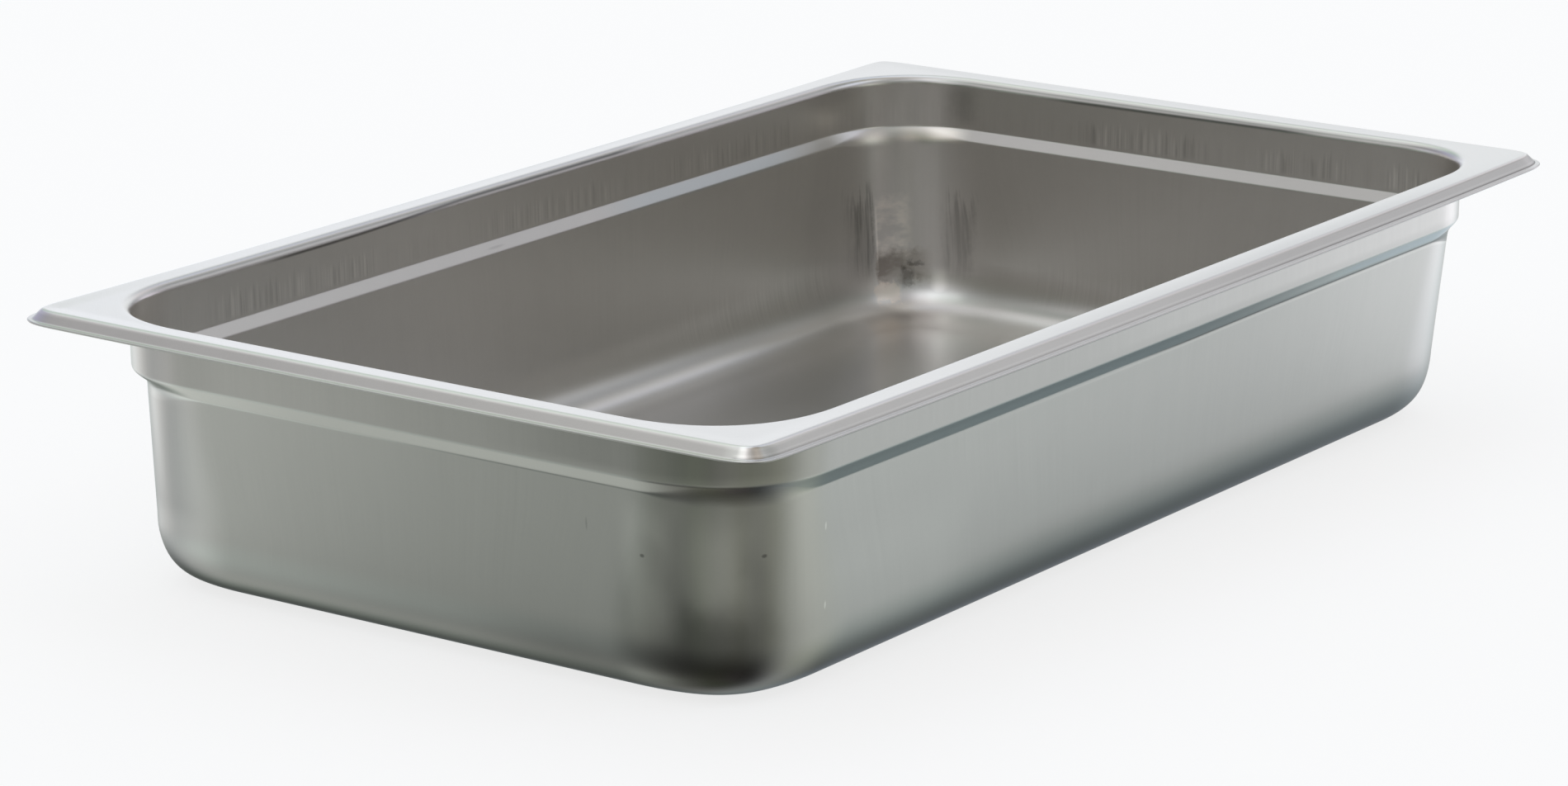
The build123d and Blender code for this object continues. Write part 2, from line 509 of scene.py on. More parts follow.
def value_of(tree, kind, inputs=None, output=0, **props):
    return Value(tree, add_node(tree, kind, inputs, **props).outputs[output])


def value_from(kind, inputs, output=0, **props):
    """The output of a new node, in the tree that its inputs belong to."""
    tree = next(value.tree for value in inputs.values() if isinstance(value, Value))
    return value_of(tree, kind, inputs, output, **props)


def maths(operation, *operands, clamp=False):
    return value_from("ShaderNodeMath", dict(enumerate(operands)), operation=operation,
                      use_clamp=clamp)


class Value:
    """A node's output. Operators and methods add the nodes that work on it."""

    def __init__(self, tree, socket):
        self.tree = tree
        self.socket = socket

    def __add__(self, other):
        return maths("ADD", self, other)

    def __radd__(self, other):
        return maths("ADD", other, self)

    def __sub__(self, other):
        return maths("SUBTRACT", self, other)

    def __rsub__(self, other):
        return maths("SUBTRACT", other, self)

    def __mul__(self, other):
        return maths("MULTIPLY", self, other)

    def __rmul__(self, other):
        return maths("MULTIPLY", other, self)

    def __abs__(self):
        return maths("ABSOLUTE", self)

    def scaled(self, by, plus):
        return maths("MULTIPLY_ADD", self, by, plus)

    def parts(self):
        split = add_node(self.tree, "ShaderNodeSeparateXYZ", {0: self})
        return [Value(self.tree, socket) for socket in split.outputs]

    def smooth(self, start, end, start_value, end_value):
        inputs = {"Value": self, "From Min": start, "From Max": end,
                  "To Min": start_value, "To Max": end_value}
        return value_from("ShaderNodeMapRange", inputs, "Result",
                          interpolation_type="SMOOTHSTEP", clamp=True)

    def rise(self, start, end):
        """0 at start, 1 at end, whichever of them is the greater."""
        return self.smooth(start, end, 0.0, 1.0)

    def fall(self, start, end):
        """1 at start, 0 at end."""
        return self.smooth(start, end, 1.0, 0.0)

    def band(self, low, high, soft):
        """1 between low and high, with soft edges."""
        return self.rise(low - soft, low + soft) * self.fall(high - soft, high + soft)

    def around(self, centre, full, gone):
        """1 as far as full from the centre, 0 from gone."""
        return abs(self - centre).fall(full, gone)

    def line(self, at, half):
        """A soft line of a half width."""
        return self.around(at, 0.0, half)


def vector(x, y, z):
    return value_from("ShaderNodeCombineXYZ", {0: x, 1: y, 2: z})


def noise(where, detail, rough, scale=1.0):
    inputs = {"Vector": where, "Scale": scale, "Detail": detail, "Roughness": rough,
              "Distortion": 0.0}
    return value_from("ShaderNodeTexNoise", inputs, "Fac", noise_dimensions="3D")


def mix(share, first, second):
    return value_from("ShaderNodeMix", {0: share, 6: first, 7: second}, 2, data_type="RGBA")


def tint(shade, by):
    """A colour scaled by a Value or multiplied by a colour."""
    by = vector(by, by, by) if isinstance(by, Value) else by
    return value_from("ShaderNodeVectorMath", {0: shade, 1: by}, operation="MULTIPLY")


# ------------------------------------------------------------------ steel
# Lengths are in mm and angles in degrees. Each mark is 1 where it lies and 0 elsewhere, and is
# weighted by the share it pales (+) or darkens (-) the steel.
def down_at(z, first, last):
    """Distance down the sheet of the row nearest height z (m), between two distances (mm)."""
    rows = section(SIDE_BENDS)
    down = down_the_sheet(rows)
    k = np.flatnonzero((down >= first * MM) & (down <= last * MM))
    return float(down[k[np.argmin(np.abs(rows[k, 1] - z))]]) / MM


LIP_CREASE = down_at(RIM_Z - 3.4 * MM, 0.9, 3.0)
FLANGE_EDGE = down_at(RIM_Z - 0.6 * MM, 3.0, 9.0)
STEP_TOP = down_at(SHOULDER_TOP[1], 15.0, 60.0)
STEP_FOOT = down_at(SHOULDER_FOOT[1], 15.0, 60.0)

STEEL_COLOUR = (0.66, 0.64, 0.61)
# tints: the warmth of stains and painted highlights, and the blue of the front step's painted reflection
STAIN_AND_HIGHLIGHT_TINT, STEP_REFLECTION_BLUE = (1.06, 0.98, 0.91), (0.76, 0.82, 0.86)
# tints: the cool of the far step's painted reflection, and the warmth of the lip's darker spot
COOL_REFLECTION_TINT, DARK_SPOT_TINT = (0.92, 0.98, 1.02), (1.06, 0.97, 0.88)
NECK_CORNER = (205.9, 103.4)     # centres of the corners' arcs, from the pan's middle
LIP_CORNER = (252.0, 149.5)
LEAST_ROUGH = 0.277

steel = bpy.data.materials.new("drawn_stainless_steel")
steel_tree = fresh_tree(steel)
place = value_from("ShaderNodeVectorMath", {
    0: value_of(steel_tree, "ShaderNodeTexCoord", output="Object"), "Scale": 1000.0,
}, operation="SCALE")
x, y, z = place.parts()
abs_x, abs_y = abs(x), abs(y)
# distances round the pan and down the sheet from the lip, and the face of the sheet
girth = value_of(steel_tree, "ShaderNodeUVMap", uv_map="UVMap").parts()[0] * 1000.0
down = value_of(steel_tree, "ShaderNodeAttribute", output="Fac", attribute_name="sheet_v") * 1000.0
face = value_of(steel_tree, "ShaderNodeAttribute", output="Fac", attribute_name="food_side")


def corner_angle(centre_x, centre_y):
    """Angle round a corner: 0 on the short side and 90 on the long side."""
    return maths("ARCTAN2", abs_y - centre_y, abs_x - centre_x) * 57.29578


turn = corner_angle(*NECK_CORNER)
food = face.rise(0.6, 0.9)
outside = face.fall(0.1, 0.4)
neck = z.band(81.5, 97.5, soft=1.5)
wall = z.band(16, 76, soft=4)
far_short = food * x.rise(236, 240)
far_long = food * y.rise(134, 138)
left_side = outside * x.rise(-236, -240)
front_side = outside * y.rise(-134, -138)
back = food * x.rise(196, 204) * y.rise(84, 92)
near = outside * x.rise(-194, -206) * y.rise(-84, -96)

# grain: fine and broad vertical lines, and soft clouds, mottling and speckle over the sheet
fine = noise(vector(girth * 0.52, z * 0.006, face * 7.0), detail=2, rough=0.7)
broad = noise(vector(girth * 0.20, z * 0.010, 3.7), detail=2, rough=0.6)
marks = (fine - 0.5) * 2.6
cloud = noise(place, detail=3, rough=0.55, scale=0.014)
mottled = noise(place, detail=3, rough=0.6, scale=0.09)
speckle = noise(place, detail=2, rough=0.7, scale=0.9)


def mark_strength():
    """Strength of the fine vertical drawing marks: greatest on the neck, in patches."""
    patch = noise(vector(girth * 0.021, z * 0.035, face * 5.0), detail=2, rough=0.5).rise(0.44, 0.62)
    ragged = noise(vector(girth * 0.40, 0.0, 9.1), detail=2, rough=0.6)
    reach = 80.0 + ragged * 22.0           # each mark runs up the neck to its own height
    low_neck = (reach - z).rise(-1, 4)
    short_patches = ((y.band(-12, 46, soft=5) + y.band(-56, -40, soft=3))
                     + (y.band(-80, -62, soft=4) + y.band(-114, -98, soft=3)))
    long_patches = ((x.band(-176, -124, soft=6) + x.band(-118, -90, soft=5))
                    + (x.band(-20, 60, soft=9) * 0.5 + x.band(95, 176, soft=9) * 0.6))
    patches = far_short * short_patches + far_long * long_patches
    on_neck = neck * food * low_neck * (0.10 + patches * 0.62) * 0.62
    on_wall = wall * (0.25 + patch * 0.75) * (food * 0.025 + outside * 0.028)
    neck_outside = neck * outside * 0.025
    wall_foot = food * z.band(12, 27, soft=6) * (
        x.rise(232, 236) * y.band(0, 62, soft=10)
        + y.rise(130, 134) * x.band(96, 196, soft=16)) * 0.10
    return (on_neck + on_wall) + (neck_outside + wall_foot)


def grain():
    streak = marks * strength + (broad - 0.5) * (wall * 0.03 + neck * 0.05)
    # along the lip and flange the marks run the other way, round the rim
    rim = z.rise(97.3, 98.2)
    across = noise(vector(girth * 0.010, (abs_x + abs_y) * 1.6, z * 1.4), detail=3, rough=0.6)
    rim_marks = (across - 0.5) * rim * 0.06
    tone = (cloud - 0.5) * 0.05 + ((mottled - 0.5) * 0.035 + (speckle - 0.5) * 0.03)
    return (1.0 + streak) + (rim_marks + tone)


def rim_shade_lines():
    """Painted shade: thin dark lines under the rim, where the neck meets the rim's bend, inside the two
    far sides, and a faintly darker band on the far short side's bend.
    """
    under_short = far_short * y.band(-58, 58, soft=12) * (z - y * -0.0062).line(98.5, half=1.0)
    above_short = far_short * y.band(-70, 58, soft=16) * z.band(98.6, 100.4, soft=0.4)
    line_z = 97.8 + x.rise(-118, -20) * 1.7
    under_long = far_long * x.band(-145, 70, soft=12) * (z - line_z).line(0.0, half=0.9)
    return under_short * 0.58 + (above_short * 0.12 + under_long * 0.66)


def back_corner():
    """Stains, dark strokes and dark streaky zones in the back corner of the well and a dark patch on its
    neck, with painted reflections and painted highlights: a pale column with a bright edge, a pale
    scalloped patch, and bright lines along the wall's foot and the step. Returns their tone and warmth.
    """
    wobble = (noise(place, detail=3, rough=0.65, scale=0.30) - 0.5) * 7.0
    loose_turn, loose_z = turn + wobble, z + wobble
    runs = noise(vector(girth * 0.50, z * 0.02, 4.0), detail=3, rough=0.65).rise(0.38, 0.60)
    ragged_top = runs * 9.0
    dark_long = (loose_turn.rise(60, 65) * loose_turn.fall(72, 92) * loose_z.rise(14, 28)
                 * (loose_z + ragged_top).fall(50, 60))
    dark_short = (loose_turn.band(-8, 13, soft=5) * loose_z.rise(12, 28)
                  * (loose_z + ragged_top).fall(48, 58))
    dark = (dark_long + dark_short * 0.65) * runs.scaled(-0.60, plus=0.95)
    blotch = noise(vector(girth * 0.06, z * 0.13, 2.0), detail=3, rough=0.6).rise(0.36, 0.60)
    # painted reflection: a pale mottled column up the corner, with a bright edge line
    column = (turn.fall(60, 61.5) * loose_turn.rise(33, 42) * loose_z.band(27, 50, soft=3)
              * blotch.scaled(0.9, plus=0.0))
    edge = turn.line(60.5, half=1.3) * z.band(22, 46, soft=5)
    brown = (loose_turn.fall(60, 63) * loose_turn.rise(18, 34) * loose_z.band(15, 27.5, soft=2.6)
             * blotch.scaled(-0.45, plus=1.0))
    strokes = maths("MAXIMUM",
                    loose_turn.band(27, 39, soft=1.5) * loose_z.line(22.5, half=1.6),
                    loose_turn.band(34, 43, soft=2) * loose_z.band(12.5, 20, soft=1.5))
    # painted reflection: a pale patch with a scalloped top, low in the corner
    scallop = (loose_turn.band(45, 66, soft=2)
               * (loose_z + abs(turn - 56.0) * 0.12).band(8, 15, soft=1))
    # painted highlight: a bright L along the wall's foot
    foot = maths("MAXIMUM",
                 turn.band(-6, 34, soft=7) * z.line(9.6, half=3.2),
                 turn.band(9, 19, soft=4) * z.band(9, 20, soft=3))
    # painted highlight along the step round the corner
    glow = ((turn.band(4, 42, soft=9) + turn.band(42, 74, soft=9) * 0.35)
            * z.band(74.6, 79.8, soft=1.4))
    neck_dark = loose_turn.band(-3, 11, soft=8) * z.band(83, 98, soft=4)
    paler = (column * 0.30 + edge * 0.30) + (scallop * 0.14 + (foot * 0.28 + glow * 0.48))
    darker = (dark * 0.50 + brown * 0.50) + (strokes * 0.30 + neck_dark * 0.24)
    warm = brown + (column * 0.5 + (glow * 0.8 + scallop))
    return back * (paler - darker), maths("MULTIPLY", back, warm * 0.8, clamp=True)


def spot(centre, size):
    """A soft ellipsoidal spot: size is its half axes."""
    from_centre = value_from("ShaderNodeVectorMath", {0: place, 1: centre}, operation="SUBTRACT")
    share = value_from("ShaderNodeVectorMath", {0: from_centre, 1: size}, operation="DIVIDE")
    distance = value_from("ShaderNodeVectorMath", {0: share}, "Value", operation="LENGTH")
    return distance.fall(0.5, 1.5)


def dints():
    """Pits and ticks on the outside, and one scratch on the far step."""
    pits = maths("MAXIMUM", spot((-244.6, -100.4, 53.0), size=(1.6, 0.8, 0.6)),
                 spot((-225.3, -136.1, 54.3), size=(0.9, 0.9, 0.6)))
    tick = spot((-245.4, -77.9, 60.4), size=(3.0, 0.35, 2.0))
    ticks = maths("MAXIMUM", spot((-200.0, -142.8, 59.5), size=(0.4, 3.0, 1.3)),
                  spot((-198.1, -141.3, 31.3), size=(0.4, 3.0, 1.3)))
    scratch = spot((-19.0, 142.5, 77.5), size=(5.0, 3.0, 0.5))
    return (pits * -0.5 + tick * -0.2) + (ticks * 0.35 + scratch * -0.15)


def crease_shade_and_highlights():
    """Painted shade and painted highlights: dark and bright lines along the shoulder's foot outside and
    along the front lip's creases, and paler or darker bands on the shoulder and the front bevel where
    light falls on them differently.
    """
    foot_line = down.line(STEP_FOOT, half=0.75)
    left_painted_light = (foot_line * y.rise(15, -45) * y.rise(-116, -104) * -0.34
                  + foot_line * y.rise(-10, 30) * 0.13
                  + down.band(STEP_TOP, STEP_FOOT - 0.6, soft=0.7)
                  * y.rise(60, -60).scaled(0.18, plus=0.08))
    front_painted_light = (down.line(STEP_FOOT + 0.1, half=0.85) * x.rise(-25, 30) * -0.62
                   + down.line(STEP_FOOT + 1.3, half=0.9) * x.rise(-130, -20) * 0.10
                   + down.band(STEP_TOP + 0.3, STEP_FOOT - 1.0, soft=0.9) * x.rise(30, 170) * 0.58)
    front_lip = food * y.rise(-150, -152)
    lip_painted_lines = (down.line(LIP_CREASE, half=0.55) * -0.20
                + down.line(LIP_CREASE + 1.0, half=0.6) * 0.12)
    lip_painted_light = lip_painted_lines + (down.line(FLANGE_EDGE, half=0.6) * x.rise(30, 130) * -0.22
                            + down.line(LIP_CREASE, half=0.5) * x.rise(-20, 120) * -0.34)
    # painted light: the front bevel paler toward its left end
    bevel = (food * y.rise(-155, -157.5)
             * down.band(LIP_CREASE + 0.5, FLANGE_EDGE - 0.4, soft=0.5)
             * x.rise(-60, 60).scaled(-0.14, plus=0.16))
    return bevel + (left_side * left_painted_light + (front_side * front_painted_light + front_lip * lip_painted_light))


def near_corner_painted_shade():
    """Painted shade and painted reflections on the near corner's outside: a dark blotch low down with an
    arm reaching up either side, a darker line under the step, and a pale middle and a pale edge toward
    the short side.
    """
    wander = (noise(place, detail=3, rough=0.55, scale=0.05) - 0.5) * 9.0
    wandering_turn, wandering_z = turn + wander, z + wander
    low = wandering_turn.around(34, full=14, gone=46) * wandering_z.around(19, full=4, gone=23)
    short_arm = (wandering_turn.around(wandering_z.scaled(-0.58, plus=34.0), full=0, gone=15)
                 * wandering_z.band(28, 60, soft=8))
    long_arm = (wandering_turn.around(wandering_z.scaled(-0.38, plus=75.0), full=0, gone=13)
                * wandering_z.band(26, 56, soft=8))
    under_step = wandering_turn.band(0, 62, soft=10) * z.around(74, full=0.5, gone=5)
    pale = wandering_turn.around(36, full=4, gone=22) * wandering_z.around(51, full=5, gone=22)
    pale_edge = wandering_turn.band(-14, 11, soft=7) * wandering_z.band(26, 68, soft=8)
    painted_shade = ((pale_edge * 0.24 + low * -0.46 + short_arm * -0.16)
             + (long_arm * -0.12 + (under_step * -0.04 + pale * 0.30)))
    return near * painted_shade


def painted_broad_light_and_shade():
    """Painted light and shade over broad areas: paler to the far ends of the two near sides, darker at
    the bottom bend, with smaller paler and darker patches on the necks, the walls, the flange and the
    well's floor.
    """
    left = left_side * y.rise(-80, 120).scaled(0.24, plus=-0.05)
    front = front_side * x.rise(40, 240).scaled(0.19, plus=-0.02)
    near_front = (outside * y.rise(-137, -140) * x.band(-205, -120, soft=16)
                  * z.band(16, 50, soft=12) * 0.08)
    neck_front = front_side * x.rise(-90, 60) * z.band(81.5, 99, soft=1.5) * 0.10
    neck_left = left_side * y.rise(60, 135) * z.band(80, 99, soft=1.5) * -0.24
    wall_left = (outside * x.rise(-150, -200) * y.rise(86, 110)
                 * z.band(30, 75, soft=5) * -0.22)
    flange = food * z.rise(100.6, 101.3) * 0.13
    neck_near = (outside * x.rise(-208, -236) * y.rise(-30, -90)
                 * z.band(82, 98, soft=2) * -0.18)
    bottom = outside * z.band(3, 14, soft=5) * (1.0 - near) * -0.22
    bottom_front = front_side * x.rise(-150, -60) * z.band(8, 25, soft=7) * -0.17
    bottom_left = (outside * x.rise(-225, -236) * y.rise(-10, -70)
                   * z.band(5, 22, soft=6) * -0.20)
    low_left = left_side * z.rise(62, 22) * y.rise(0, 110) * 0.10
    bottoms = bottom + (bottom_front + (bottom_left + low_left))
    floor = food * z.rise(2.2, 1.0) * x.rise(170, 90) * -0.14
    upper = (left + front) + (near_front + (neck_front + ((neck_left + wall_left) + flange)))
    return upper + (neck_near + (bottoms + floor))


def lip_corner_highlight_and_spot():
    """On the lip's near corner: a painted highlight on the bevel, and a darker, browner spot beside it.
    """
    lip_turn = corner_angle(*LIP_CORNER)
    corner = (food * x.rise(-250.5, -253.5) * y.rise(-148, -151)
              * down.band(LIP_CREASE - 0.2, FLANGE_EDGE + 0.5, soft=0.6))
    return corner * lip_turn.band(18, 34, soft=6), corner * lip_turn.band(47, 64, soft=7)


strength = mark_strength()
colour = tint(STEEL_COLOUR, grain())
# the back corner's stains, painted reflections and painted highlights, with their warmth
corner_stains_and_painted_light, corner_warmth = back_corner()
# painted shade: dark lines under the far rim
colour = tint(colour, 1.0 + (corner_stains_and_painted_light - rim_shade_lines()))
colour = mix(corner_warmth, colour, tint(colour, STAIN_AND_HIGHLIGHT_TINT))
colour = tint(colour, 1.0 + dints())
# painted shade and painted highlights along the shoulder's outside and the front lip
colour = tint(colour, 1.0 + crease_shade_and_highlights())
# painted reflection: the front step's band reflects bluer toward its near end
blue_step_reflection = front_side * down.band(STEP_TOP, STEP_FOOT - 0.3, soft=0.5) * x.rise(110, -10)
colour = mix(blue_step_reflection * 1.0, colour, tint(colour, STEP_REFLECTION_BLUE))
# painted shade and painted reflections on the near corner's outside
colour = tint(colour, 1.0 + near_corner_painted_shade())
# painted light and shade over broad areas
colour = tint(colour, 1.0 + painted_broad_light_and_shade())
# painted reflection: the far long step reflects cooler toward its right end
cool_step_reflection = far_long * z.band(75, 80, soft=1) * x.band(60, 178, soft=20)
colour = mix(cool_step_reflection, colour, tint(colour, COOL_REFLECTION_TINT))
# painted highlight on the lip's near corner, and a darker, browner spot beside it
facet, dark_spot = lip_corner_highlight_and_spot()
colour = tint(colour, 1.0 + (facet * 0.36 - dark_spot * 0.32))
colour = mix(dark_spot * 0.8, colour, tint(colour, DARK_SPOT_TINT))

# roughness follows the grain, and the stained back corner is duller still
roughness = (food.scaled(-0.01, plus=0.295) + (mottled - 0.5) * 0.03
             + (fine - 0.5) * (strength * 0.25)
             + back * turn.band(22, 66, soft=5) * z.band(6, 30, soft=4) * 0.06)

# relief: the same marks as shallow scratches, and a hint of unevenness in the flat areas
relief = marks * strength * 0.004 + (speckle - 0.5) * 0.0008
bump = value_from("ShaderNodeBump", {"Strength": 1.0, "Distance": 0.001, "Height": relief})
surface = value_from("ShaderNodeBsdfPrincipled", {
    "Metallic": 1.0,
    "Base Color": colour,
    "Roughness": maths("MAXIMUM", roughness, LEAST_ROUGH),
    "Normal": bump,
})
add_node(steel_tree, "ShaderNodeOutputMaterial", {0: surface})
pan.data.materials.append(steel)

# ------------------------------------------------------------------ floor
FLOOR_SIZE, FLOOR_Z = 14, -0.0002
FLOOR_GLOW = 1.10                # strength of the floor's own light
FLOOR_DIFFUSE = 0.30             # share of plain diffuse in it
VEIL_DEPTH, VEIL_REACH = 0.60, 0.080   # how dark the veil is beside the pan, and how far it fades
FOOT_IN, FOOT_R = 0.040, 0.030   # the veil's inner outline: inset from the lip, and corner radius
WHITE = (1, 1, 1, 1)


def floor_material():
    """To the camera a plain pale floor; to the light a veil over the glow from below, darker
    close to the pan, as the pan's own shade makes it."""
    material = bpy.data.materials.new("pale_floor")
    tree = fresh_tree(material)
    glow = value_of(tree, "ShaderNodeEmission", {0: WHITE, 1: FLOOR_GLOW})
    diffuse = value_of(tree, "ShaderNodeBsdfDiffuse", {0: (0.9, 0.9, 0.9, 1)})
    pale = value_of(tree, "ShaderNodeMixShader", {0: FLOOR_DIFFUSE, 1: glow, 2: diffuse})
    x, y, _ = value_of(tree, "ShaderNodeNewGeometry", output="Position").parts()
    out_x = maths("MAXIMUM", abs(x) - (HALF_LENGTH - FOOT_IN - FOOT_R), 0.0)
    out_y = maths("MAXIMUM", abs(y) - (HALF_WIDTH - FOOT_IN - FOOT_R), 0.0)
    distance = maths("SQRT", out_x * out_x + out_y * out_y)
    away = maths("MAXIMUM", distance - FOOT_R, 0.0)
    veil = 1.0 - VEIL_DEPTH * maths("EXPONENT", away * (-1.0 / VEIL_REACH))
    clear = value_of(tree, "ShaderNodeBsdfTransparent", {0: veil})
    by_camera = value_of(tree, "ShaderNodeLightPath", output="Is Camera Ray")
    seen = value_of(tree, "ShaderNodeMixShader", {0: by_camera, 1: clear, 2: pale})
    add_node(tree, "ShaderNodeOutputMaterial", {0: seen})
    return material


bpy.ops.mesh.primitive_grid_add(x_subdivisions=2, y_subdivisions=2, size=FLOOR_SIZE,
                                location=(0, 0, FLOOR_Z))
floor = bpy.context.active_object
floor.name = "studio_floor"
floor.data.materials.append(floor_material())

# ------------------------------------------------------------------ studio light
SHARPNESS = 36.0                 # of every soft source
DOME_R = 60.0
# the soft sources: azimuth from +x and elevation of where the light comes from, red, green, blue
LIGHTS = [
    (0.0, 82.8, 0.52, 0.51, 0.49), (-137.5, 77.6, 0.23, 0.22, 0.18),
    (85.0, 73.9, 0.41, 0.45, 0.57), (-52.5, 71.0, 0.25, 0.2, 0.16),
    (170.0, 68.4, 0.88, 0.85, 0.88), (32.5, 66.1, 0.63, 0.68, 0.8),
    (-105.0, 64.0, 0.05, 0.07, 0.1), (117.4, 62.0, 0.74, 0.75, 0.77),
    (-20.1, 60.1, 0.19, 0.19, 0.08), (-157.6, 58.4, 0.49, 0.49, 0.56),
    (64.9, 56.7, 0.69, 0.77, 0.67), (-72.6, 55.1, 0.95, 0.99, 1.05),
    (149.9, 53.6, 0.27, 0.36, 0.3), (12.4, 52.1, 0.58, 0.68, 0.91),
    (-125.1, 50.7, 0.49, 0.46, 0.47), (97.4, 49.3, 0.45, 0.43, 0.42),
    (-177.6, 46.6, 0.85, 0.91, 0.96), (44.9, 45.3, 0.5, 0.51, 0.49),
    (-92.6, 44.1, 0.14, 0.15, 0.11), (-7.7, 41.6, 0.45, 0.46, 0.45),
    (-145.2, 40.4, 0.29, 0.32, 0.32), (77.3, 39.3, 0.39, 0.44, 0.51),
    (-60.2, 38.1, 0.86, 0.95, 1.18), (162.3, 37.0, 0.38, 0.41, 0.44),
    (-112.7, 34.8, 0.19, 0.24, 0.23), (-165.2, 31.6, 0.19, 0.18, 0.2),
    (57.3, 30.5, 0.12, 0.26, 0.15), (-80.2, 29.5, 0.08, 0.08, 0.07),
    (142.2, 28.5, 0.57, 0.55, 0.55), (4.7, 27.4, 0.65, 0.59, 0.62),
    (-132.8, 26.4, 0.17, 0.18, 0.18), (89.7, 25.4, 0.28, 0.27, 0.46),
    (-47.8, 24.5, 0.76, 0.78, 0.77), (174.7, 23.5, 0.74, 0.72, 0.74),
    (37.2, 22.5, 0.7, 0.73, 0.78), (-100.3, 21.5, 0.45, 0.4, 0.44),
    (122.2, 20.6, 0.64, 0.64, 0.78), (-15.3, 19.6, 0.56, 0.6, 0.66),
    (-152.8, 18.7, 0.11, 0.13, 0.1), (69.7, 17.7, 0.38, 0.36, 0.47),
    (-67.8, 16.8, 0.22, 0.18, 0.21), (17.1, 14.9, 0.85, 0.94, 0.99),
    (102.1, 13.1, 0.37, 0.36, 0.3), (-172.9, 11.3, 0.03, 0.05, 0.0),
    (49.6, 10.4, 0.66, 0.64, 0.75), (-87.9, 9.4, 0.67, 0.73, 0.66),
    (134.6, 8.5, 0.25, 0.33, 0.26), (-140.4, 6.7, 0.33, 0.3, 0.29),
    (82.1, 5.8, 0.22, 0.23, 0.28), (167.0, 4.0, 0.0, 0.05, 0.02),
    (29.5, 3.1, 0.38, 0.35, 0.34), (-108.0, 2.2, 0.24, 0.27, 0.19),
    (-23.0, 0.4, 1.26, 1.18, 1.37), (62.0, -1.3, 0.47, 0.53, 0.54),
    (94.5, -5.8, 0.88, 0.84, 0.81), (41.9, -8.5, 0.92, 1.13, 1.14),
    (126.9, -10.4, 0.34, 0.28, 0.31), (-10.6, -11.3, 0.92, 0.92, 0.94),
    (74.4, -13.1, 0.95, 0.98, 1.0), (-63.1, -14.0, 0.25, 0.27, 0.26),
    (159.4, -14.9, 0.22, 0.23, 0.2), (21.9, -15.9, 0.6, 0.61, 0.58),
    (-115.6, -16.8, 0.12, 0.13, 0.1), (106.9, -17.7, 0.02, 0.04, 0.06),
    (-30.7, -18.7, 0.4, 0.46, 0.45), (-168.2, -19.6, 0.19, 0.22, 0.17),
    (54.3, -20.6, 0.17, 0.18, 0.16), (-83.2, -21.5, 0.24, 0.25, 0.2),
    (139.3, -22.5, 0.24, 0.28, 0.26), (1.8, -23.5, 0.46, 0.56, 0.6),
    (-135.7, -24.5, 0.29, 0.31, 0.29), (86.8, -25.4, 0.29, 0.34, 0.36),
    (-50.7, -26.4, 0.63, 0.66, 0.64), (171.8, -27.4, 0.18, 0.19, 0.19),
    (34.3, -28.5, 0.38, 0.43, 0.46), (-103.2, -29.5, 0.22, 0.23, 0.23),
    (119.3, -30.5, 0.78, 0.89, 0.86), (-18.3, -31.6, 0.01, 0.06, 0.13),
    (-155.8, -32.6, 0.21, 0.22, 0.21), (-70.8, -34.8, 0.16, 0.18, 0.17),
    (14.2, -37.0, 0.0, 0.01, 0.09), (-123.3, -38.1, 0.07, 0.07, 0.05),
    (99.2, -39.3, 0.5, 0.48, 0.49), (-38.3, -40.4, 0.45, 0.49, 0.38),
    (-5.9, -46.6, 0.12, 0.11, 0.04), (79.1, -49.3, 0.22, 0.3, 0.26),
    (-58.4, -50.7, 0.19, 0.19, 0.2), (164.1, -52.1, 0.06, 0.06, 0.06),
    (26.6, -53.6, 0.53, 0.63, 0.63), (111.6, -56.7, 0.68, 0.74, 0.69),
    (-25.9, -58.4, 0.45, 0.49, 0.52), (-163.4, -60.1, 0.05, 0.06, 0.03),
    (59.1, -62.0, 0.35, 0.33, 0.32), (144.1, -66.1, 0.21, 0.21, 0.2),
    (6.5, -68.4, 0.38, 0.4, 0.41), (-131.0, -71.0, 0.11, 0.09, 0.11),
    (176.5, -82.8, 0.07, 0.1, 0.04),
]


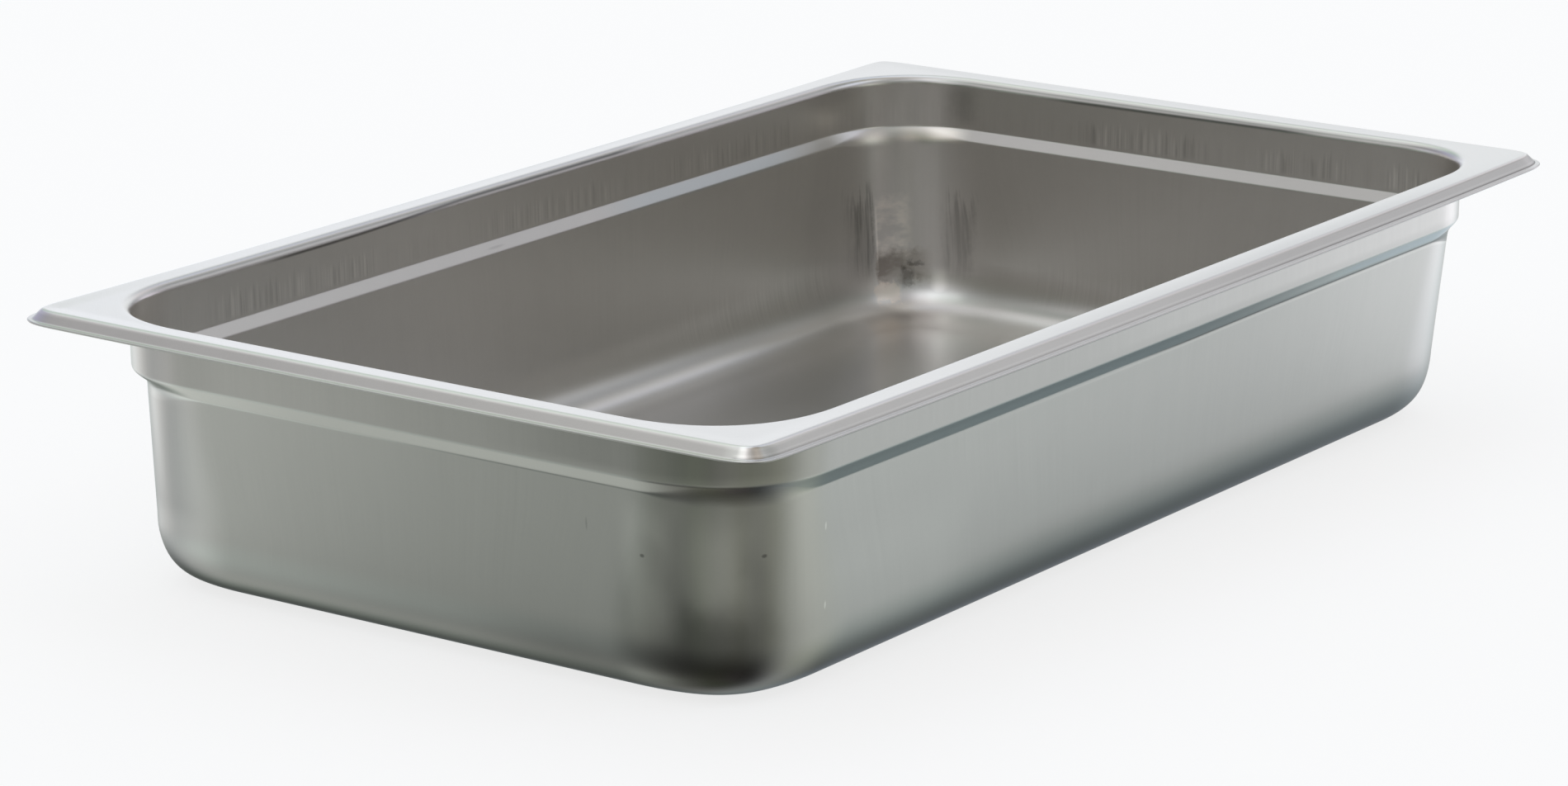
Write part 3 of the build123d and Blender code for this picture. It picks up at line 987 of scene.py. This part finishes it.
def light_dome():
    """A far dome glowing with the sum of the soft sources, not seen by the camera."""
    bpy.ops.mesh.primitive_ico_sphere_add(subdivisions=6, radius=DOME_R, location=(0, 0, 0))
    dome = bpy.context.active_object
    dome.name = "studio_light_dome"
    mesh = dome.data
    outward = np.zeros(len(mesh.vertices) * 3)
    mesh.vertices.foreach_get("co", outward)
    outward = outward.reshape(-1, 3)
    outward /= np.linalg.norm(outward, axis=1)[:, None]
    glow = np.zeros((len(outward), 4), np.float32)
    glow[:, 3] = 1.0
    for azimuth, elevation, *light in LIGHTS:
        azimuth, elevation = math.radians(azimuth), math.radians(elevation)
        source = np.array([math.cos(azimuth) * math.cos(elevation),
                           math.sin(azimuth) * math.cos(elevation), math.sin(elevation)])
        glow[:, :3] += np.exp(SHARPNESS * (outward @ source - 1.0))[:, None] * np.array(light)
    attribute = mesh.attributes.new("glow", "FLOAT_COLOR", "POINT")
    attribute.data.foreach_set("color", glow.ravel())
    mesh.polygons.foreach_set("use_smooth", [True] * len(mesh.polygons))
    material = bpy.data.materials.new("studio_glow")
    tree = fresh_tree(material)
    shade = value_of(tree, "ShaderNodeAttribute", output="Color", attribute_name="glow")
    shine = value_of(tree, "ShaderNodeEmission", {0: shade})
    add_node(tree, "ShaderNodeOutputMaterial", {0: shine})
    material.cycles.emission_sampling = "NONE"
    mesh.materials.append(material)
    dome.visible_camera = False
    dome.visible_shadow = False


def backdrop():
    """A world that is white to the camera and black to the light."""
    world = bpy.data.worlds.new("studio")
    bpy.context.scene.world = world
    tree = fresh_tree(world)
    dark = value_of(tree, "ShaderNodeBackground", {0: (0, 0, 0, 1)})
    white = value_of(tree, "ShaderNodeBackground", {0: WHITE})
    by_camera = value_of(tree, "ShaderNodeLightPath", output="Is Camera Ray")
    seen = value_of(tree, "ShaderNodeMixShader", {0: by_camera, 1: dark, 2: white})
    add_node(tree, "ShaderNodeOutputWorld", {0: seen})


light_dome()
backdrop()

# ------------------------------------------------------------------ camera
AZIMUTH, ELEVATION, ROLL = (math.radians(angle) for angle in (-53.86, 15.40, -0.36))
DISTANCE = 1.735
TARGET = Vector((-0.198, -0.1245, RIM_Z))
SENSOR, LENS = 36.0, 120.69473684      # mm

to_camera = Vector((math.sin(AZIMUTH) * math.cos(ELEVATION),
                    -math.cos(AZIMUTH) * math.cos(ELEVATION), math.sin(ELEVATION)))
level = Vector((math.cos(AZIMUTH), math.sin(AZIMUTH), 0))
upright = to_camera.cross(level)
right = math.cos(ROLL) * level + math.sin(ROLL) * upright
up = -math.sin(ROLL) * level + math.cos(ROLL) * upright
camera_data = bpy.data.cameras.new("camera")
camera_data.sensor_width = SENSOR
camera_data.lens = LENS
camera_data.clip_start = 0.05
camera_data.clip_end = 60
camera = bpy.data.objects.new("camera", camera_data)
scene = bpy.context.scene
scene.collection.objects.link(camera)
pose = Matrix((right, up, to_camera)).transposed().to_4x4()
pose.translation = TARGET + to_camera * DISTANCE
camera.matrix_world = pose
scene.camera = camera

scene.view_settings.view_transform = "Standard"
scene.cycles.max_bounces = 10
scene.cycles.glossy_bounces = 8
